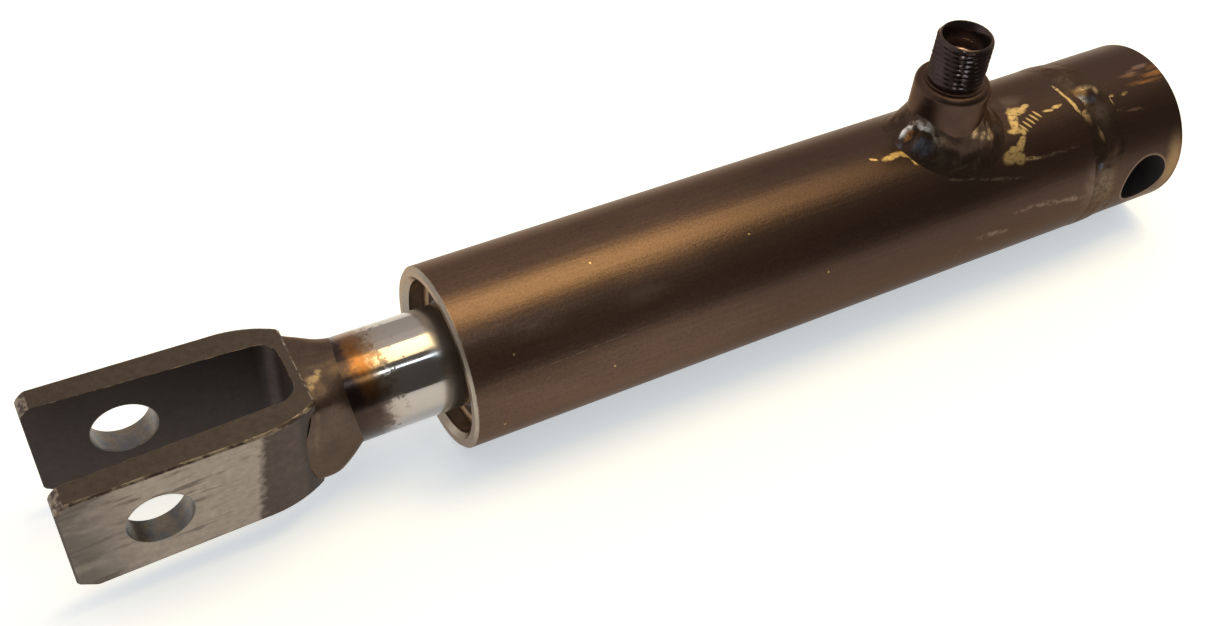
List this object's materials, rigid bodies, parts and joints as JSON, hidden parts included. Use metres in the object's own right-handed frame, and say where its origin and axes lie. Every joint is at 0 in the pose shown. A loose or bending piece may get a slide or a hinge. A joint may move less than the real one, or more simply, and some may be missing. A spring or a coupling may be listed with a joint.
{
  "type": "single-acting hydraulic cylinder",
  "caption": "Single-acting hydraulic ram: steel barrel with a cross-bored rear plug, a threaded oil port on top and a chromed rod that ends in a fork clevis.",
  "frame": {"origin": "centre of the rear pin bore, on the ram's axis", "axes": "+X along the ram from the rear eye to the clevis, the way the rod extends; +Z out of the oil port; both pin bores lie along Y"},
  "size_m": [0.339, 0.0508, 0.0819],
  "materials": {
    "barrel_steel": "oiled mill scale, dark warm brown, satin, with faint lengthwise streaks",
    "plug_steel": "turned steel gone dark brown, with bare golden scratches and a little rust at the rim",
    "weld_metal": "rippled weld bead, dark brown with silver and heat-blue spots",
    "nipple_steel": "oily black-brown threaded steel",
    "gland_iron": "machined iron, oily",
    "spring_wire": "oiled spring wire",
    "seal_rubber": "matt black nitrile",
    "seal_polyurethane": "dark polyurethane",
    "guide_plastic": "brown filled guide strip",
    "rod_chrome": "hard chrome, polished, with heat tint near the weld",
    "piston_iron": "turned iron",
    "fastener_steel": "plain steel",
    "clevis_steel": "ground lengthwise to grey-beige, dark brown scale at the back and in the slot"
  },
  "bodies": {
    "barrel": {"barrel_tube": "barrel_steel", "rear_plug": "plug_steel", "rear_weld_bead": "weld_metal", "port_nipple": "nipple_steel", "port_weld_bead": "weld_metal", "head_gland": "gland_iron", "gland_retaining_ring": "spring_wire", "gland_o_ring": "seal_rubber", "gland_backup_ring": "guide_plastic", "rod_guide_ring_rear": "guide_plastic", "rod_guide_ring_front": "guide_plastic", "rod_seal": "seal_polyurethane", "rod_wiper": "seal_polyurethane"},
    "piston_rings": {"piston_guide_ring_rear": "guide_plastic", "piston_guide_ring_front": "guide_plastic"},
    "rod": {"rod": "rod_chrome", "piston": "piston_iron", "piston_washer": "fastener_steel", "piston_nut": "fastener_steel", "clevis": "clevis_steel", "clevis_weld_bead": "weld_metal"}
  },
  "joints": [
    {"name": "rod_slide", "type": "slide", "parent": "barrel", "child": "piston_rings", "axis": [1, 0, 0], "range_m": [0, 0.125]},
    {"name": "rod_spin", "type": "hinge", "parent": "piston_rings", "child": "rod", "pos_m": [0, 0, 0], "axis": [1, 0, 0], "continuous": true}
  ]
}
